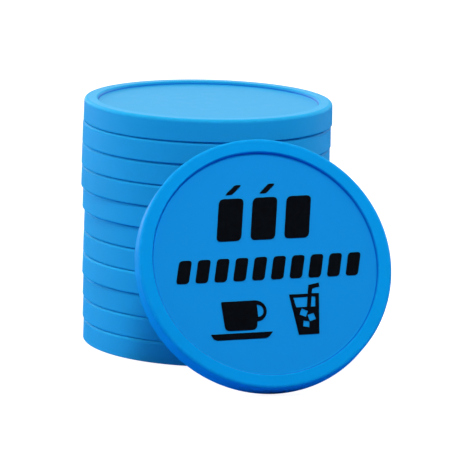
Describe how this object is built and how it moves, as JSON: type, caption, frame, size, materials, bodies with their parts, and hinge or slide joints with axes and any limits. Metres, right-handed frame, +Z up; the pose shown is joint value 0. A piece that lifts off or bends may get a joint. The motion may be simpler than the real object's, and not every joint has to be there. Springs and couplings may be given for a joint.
{
  "type": "drink token stack",
  "caption": "Stack of round plastic drink tokens with raised rims and recessed faces, and one printed token leaning on its front.",
  "frame": {"origin": "on the table, under the middle of the whole set's bounding box", "axes": "+Z up along the stack, -Y towards the front where the printed token leans, +X to its right"},
  "size_m": [0.0358, 0.0442, 0.0286],
  "materials": {
    "token_plastic": "satin moulded sky blue plastic",
    "print_ink": "matte black pad-printing ink"
  },
  "bodies": {
    "token_01": {"token_01": "token_plastic"},
    "token_02": {"token_02": "token_plastic"},
    "token_03": {"token_03": "token_plastic"},
    "token_04": {"token_04": "token_plastic"},
    "token_05": {"token_05": "token_plastic"},
    "token_06": {"token_06": "token_plastic"},
    "token_07": {"token_07": "token_plastic"},
    "token_08": {"token_08": "token_plastic"},
    "token_09": {"token_09": "token_plastic"},
    "token_10": {"token_10": "token_plastic"},
    "token_11": {"token_11": "token_plastic"},
    "leaning_token": {"leaning_token": "token_plastic", "print_cup": "print_ink", "print_saucer": "print_ink", "print_tumbler": "print_ink", "print_big_mark_01": "print_ink", "print_big_mark_02": "print_ink", "print_big_mark_03": "print_ink", "print_short_mark_01": "print_ink", "print_short_mark_02": "print_ink", "print_small_mark_01": "print_ink", "print_small_mark_02": "print_ink", "print_small_mark_03": "print_ink", "print_small_mark_04": "print_ink", "print_small_mark_05": "print_ink", "print_small_mark_06": "print_ink", "print_small_mark_07": "print_ink", "print_small_mark_08": "print_ink", "print_small_mark_09": "print_ink", "print_small_mark_10": "print_ink"}
  },
  "joints": [
    {"name": "token_02_lift", "type": "slide", "parent": "token_01", "child": "token_02", "axis": [0, 0, 1], "range_m": [0, 0.005]},
    {"name": "token_03_lift", "type": "slide", "parent": "token_02", "child": "token_03", "axis": [0, 0, 1], "range_m": [0, 0.005]},
    {"name": "token_04_lift", "type": "slide", "parent": "token_03", "child": "token_04", "axis": [0, 0, 1], "range_m": [0, 0.005]},
    {"name": "token_05_lift", "type": "slide", "parent": "token_04", "child": "token_05", "axis": [0, 0, 1], "range_m": [0, 0.005]},
    {"name": "token_06_lift", "type": "slide", "parent": "token_05", "child": "token_06", "axis": [0, 0, 1], "range_m": [0, 0.005]},
    {"name": "token_07_lift", "type": "slide", "parent": "token_06", "child": "token_07", "axis": [0, 0, 1], "range_m": [0, 0.005]},
    {"name": "token_08_lift", "type": "slide", "parent": "token_07", "child": "token_08", "axis": [0, 0, 1], "range_m": [0, 0.005]},
    {"name": "token_09_lift", "type": "slide", "parent": "token_08", "child": "token_09", "axis": [0, 0, 1], "range_m": [0, 0.005]},
    {"name": "token_10_lift", "type": "slide", "parent": "token_09", "child": "token_10", "axis": [0, 0, 1], "range_m": [0, 0.005]},
    {"name": "token_11_lift", "type": "slide", "parent": "token_10", "child": "token_11", "axis": [0, 0, 1], "range_m": [0, 0.005]},
    {"name": "leaning_token_tip", "type": "hinge", "parent": "token_01", "child": "leaning_token", "pos_m": [0.00481, -0.01936, 0], "axis": [0.974, 0.2267, 0], "range_deg": [0, 27.5]}
  ]
}
